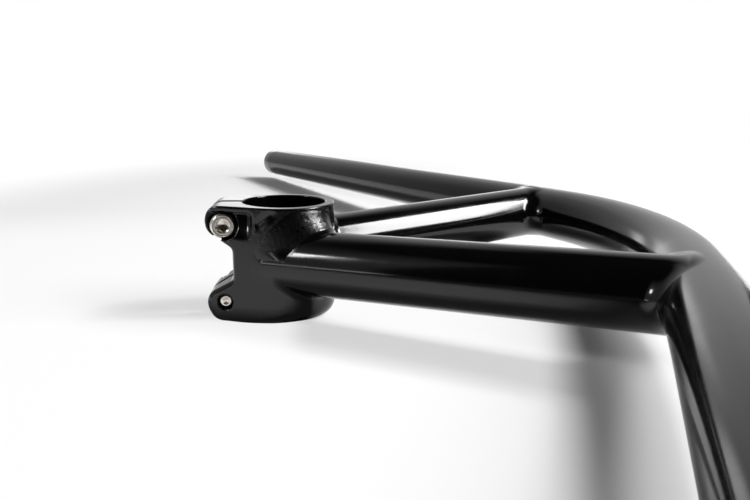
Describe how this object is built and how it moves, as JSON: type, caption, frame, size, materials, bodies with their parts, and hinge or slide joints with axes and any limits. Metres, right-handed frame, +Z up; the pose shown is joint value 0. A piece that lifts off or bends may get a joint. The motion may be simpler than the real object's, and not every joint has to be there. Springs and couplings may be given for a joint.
{
  "type": "integrated handlebar stem",
  "caption": "Swept bicycle handlebar joined by a V of tubes to a split steerer clamp with pinch bolts, all one rigid welded piece.",
  "frame": {"origin": "centre of the steerer clamp's lower face, on the steerer axis", "axes": "+X forward in the riding direction, +Y to the rider's left, +Z up along the steerer axis"},
  "size_m": [0.1822, 0.8, 0.04],
  "materials": {
    "gloss_black": "gloss black paint",
    "stainless": "bright stainless"
  },
  "bodies": {
    "root": {"steerer_clamp": "gloss_black", "right_stem_tube": "gloss_black", "left_stem_tube": "gloss_black", "handlebar": "gloss_black", "right_clamp_weld": "gloss_black", "left_clamp_weld": "gloss_black", "right_bar_weld": "gloss_black", "left_bar_weld": "gloss_black", "upper_pinch_bolt": "stainless", "lower_pinch_bolt": "stainless"}
  },
  "joints": []
}
